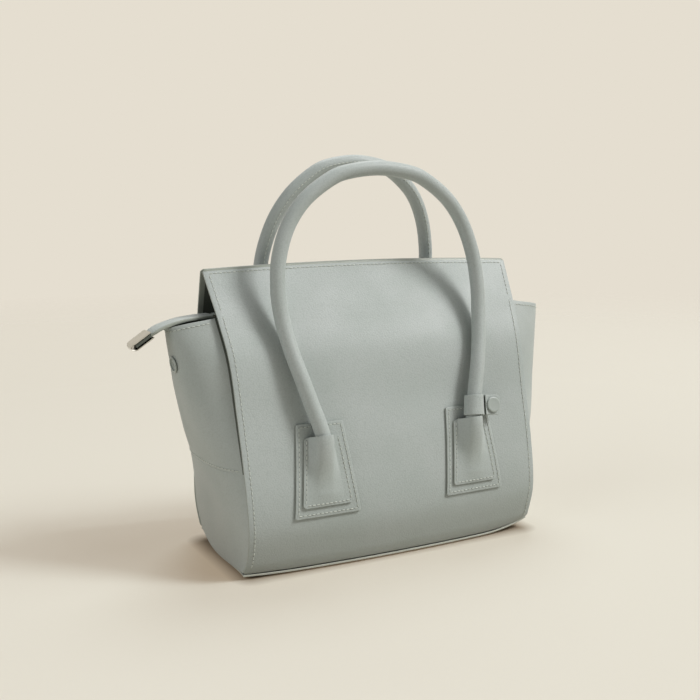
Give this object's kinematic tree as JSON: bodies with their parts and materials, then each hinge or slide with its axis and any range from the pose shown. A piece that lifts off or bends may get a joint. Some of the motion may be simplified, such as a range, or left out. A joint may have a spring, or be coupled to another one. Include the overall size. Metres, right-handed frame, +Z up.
{
  "type": "leather handbag",
  "caption": "Small structured handbag with flared side gussets, folding tube handles, a recessed zip with a slider and hanging tail, side studs and a snap keeper strap.",
  "frame": {"origin": "centre of the base panel's underside, on the surface that the bag stands on", "axes": "+X along the width, to the right of someone who looks at the front; -Y is the front; +Z up"},
  "size_m": [0.3636, 0.1394, 0.311],
  "materials": {
    "sage_leather": "fine pebbled grain, satin, sage grey-green",
    "gusset_leather": "fine pebbled grain, satin, a little softer than the panels",
    "base_leather": "plain edge of the base, satin",
    "fibreboard": "bare bonded fibreboard",
    "lining_cloth": "plain woven lining",
    "zip_tape": "woven zip tape",
    "rope_core": "twisted cord inside the handles",
    "polished_nickel": "polished nickel plate",
    "lacquered_stud": "satin lacquer in the leather's colour"
  },
  "bodies": {
    "bag": {"back_board": "fibreboard", "back_panel": "sage_leather", "base_board": "fibreboard", "base_panel": "base_leather", "front_board": "fibreboard", "front_left_patch": "sage_leather", "front_left_tab": "sage_leather", "front_left_tube_end": "sage_leather", "front_panel": "sage_leather", "front_right_patch": "sage_leather", "front_right_tab": "sage_leather", "front_right_tube_end": "sage_leather", "front_zip_facing": "sage_leather", "front_zip_tape": "zip_tape", "front_zip_teeth": "polished_nickel", "left_lower_gusset": "gusset_leather", "left_side_stud": "lacquered_stud", "left_stud_washer": "polished_nickel", "left_wing_gusset": "gusset_leather", "lining_bag": "lining_cloth", "rear_left_patch": "sage_leather", "rear_left_tab": "sage_leather", "rear_left_tube_end": "sage_leather", "rear_right_patch": "sage_leather", "rear_right_tab": "sage_leather", "rear_right_tube_end": "sage_leather", "rear_zip_facing": "sage_leather", "rear_zip_tape": "zip_tape", "rear_zip_teeth": "polished_nickel", "right_lower_gusset": "gusset_leather", "right_side_stud": "lacquered_stud", "right_stud_washer": "polished_nickel", "right_wing_gusset": "gusset_leather", "zip_left_stop": "polished_nickel", "zip_right_stop": "polished_nickel", "zip_tail_root": "sage_leather"},
    "front_flap": {"front_upper_panel": "sage_leather"},
    "back_flap": {"back_upper_panel": "sage_leather"},
    "front_handle": {"front_handle_sleeve": "sage_leather", "front_handle_core": "rope_core"},
    "rear_handle": {"rear_handle_sleeve": "sage_leather", "rear_handle_core": "rope_core"},
    "zip_slider": {"zip_slider": "polished_nickel", "zip_slider_base": "polished_nickel"},
    "zip_puller": {"zip_puller": "polished_nickel"},
    "zip_tail": {"zip_tail_strap": "sage_leather", "zip_tail_cap": "polished_nickel"},
    "keeper": {"keeper_loop": "sage_leather", "keeper_stud_post": "polished_nickel"},
    "keeper_flap": {"keeper_flap": "sage_leather", "keeper_stud_cap": "lacquered_stud"}
  },
  "joints": [
    {"name": "front_handle_fold", "type": "hinge", "parent": "bag", "child": "front_handle", "pos_m": [0, -0.06868, 0.10545], "axis": [1, 0, 0], "range_deg": [0, 95]},
    {"name": "rear_handle_fold", "type": "hinge", "parent": "bag", "child": "rear_handle", "pos_m": [0, 0.06868, 0.10545], "axis": [-1, 0, 0], "range_deg": [0, 95]},
    {"name": "front_flap_open", "type": "hinge", "parent": "bag", "child": "front_flap", "pos_m": [0, -0.02152, 0.192], "axis": [1, 0, 0], "range_deg": [0, 20], "stiffness_Nm_per_rad": 0.01},
    {"name": "back_flap_open", "type": "hinge", "parent": "bag", "child": "back_flap", "pos_m": [0, 0.02152, 0.192], "axis": [-1, 0, 0], "range_deg": [0, 20], "stiffness_Nm_per_rad": 0.01},
    {"name": "zip_slide", "type": "slide", "parent": "bag", "child": "zip_slider", "axis": [-1, 0, 0], "range_m": [0, 0.225]},
    {"name": "zip_puller_swing", "type": "hinge", "parent": "zip_slider", "child": "zip_puller", "pos_m": [0.1145, 0, 0.19241], "axis": [0, 1, 0], "range_deg": [0, 170]},
    {"name": "zip_tail_lift", "type": "hinge", "parent": "bag", "child": "zip_tail", "pos_m": [-0.142, 0, 0.19141], "axis": [0, 1, 0], "range_deg": [0, 90]},
    {"name": "keeper_slide", "type": "slide", "parent": "front_handle", "child": "keeper", "axis": [0.2573, 0.2478, 0.934], "range_m": [0, 0.017]},
    {"name": "keeper_flap_open", "type": "hinge", "parent": "keeper", "child": "keeper_flap", "pos_m": [0.07734, -0.0623, 0.1043], "axis": [-0.0844, -0.2478, -0.9651], "range_deg": [0, 75]}
  ]
}
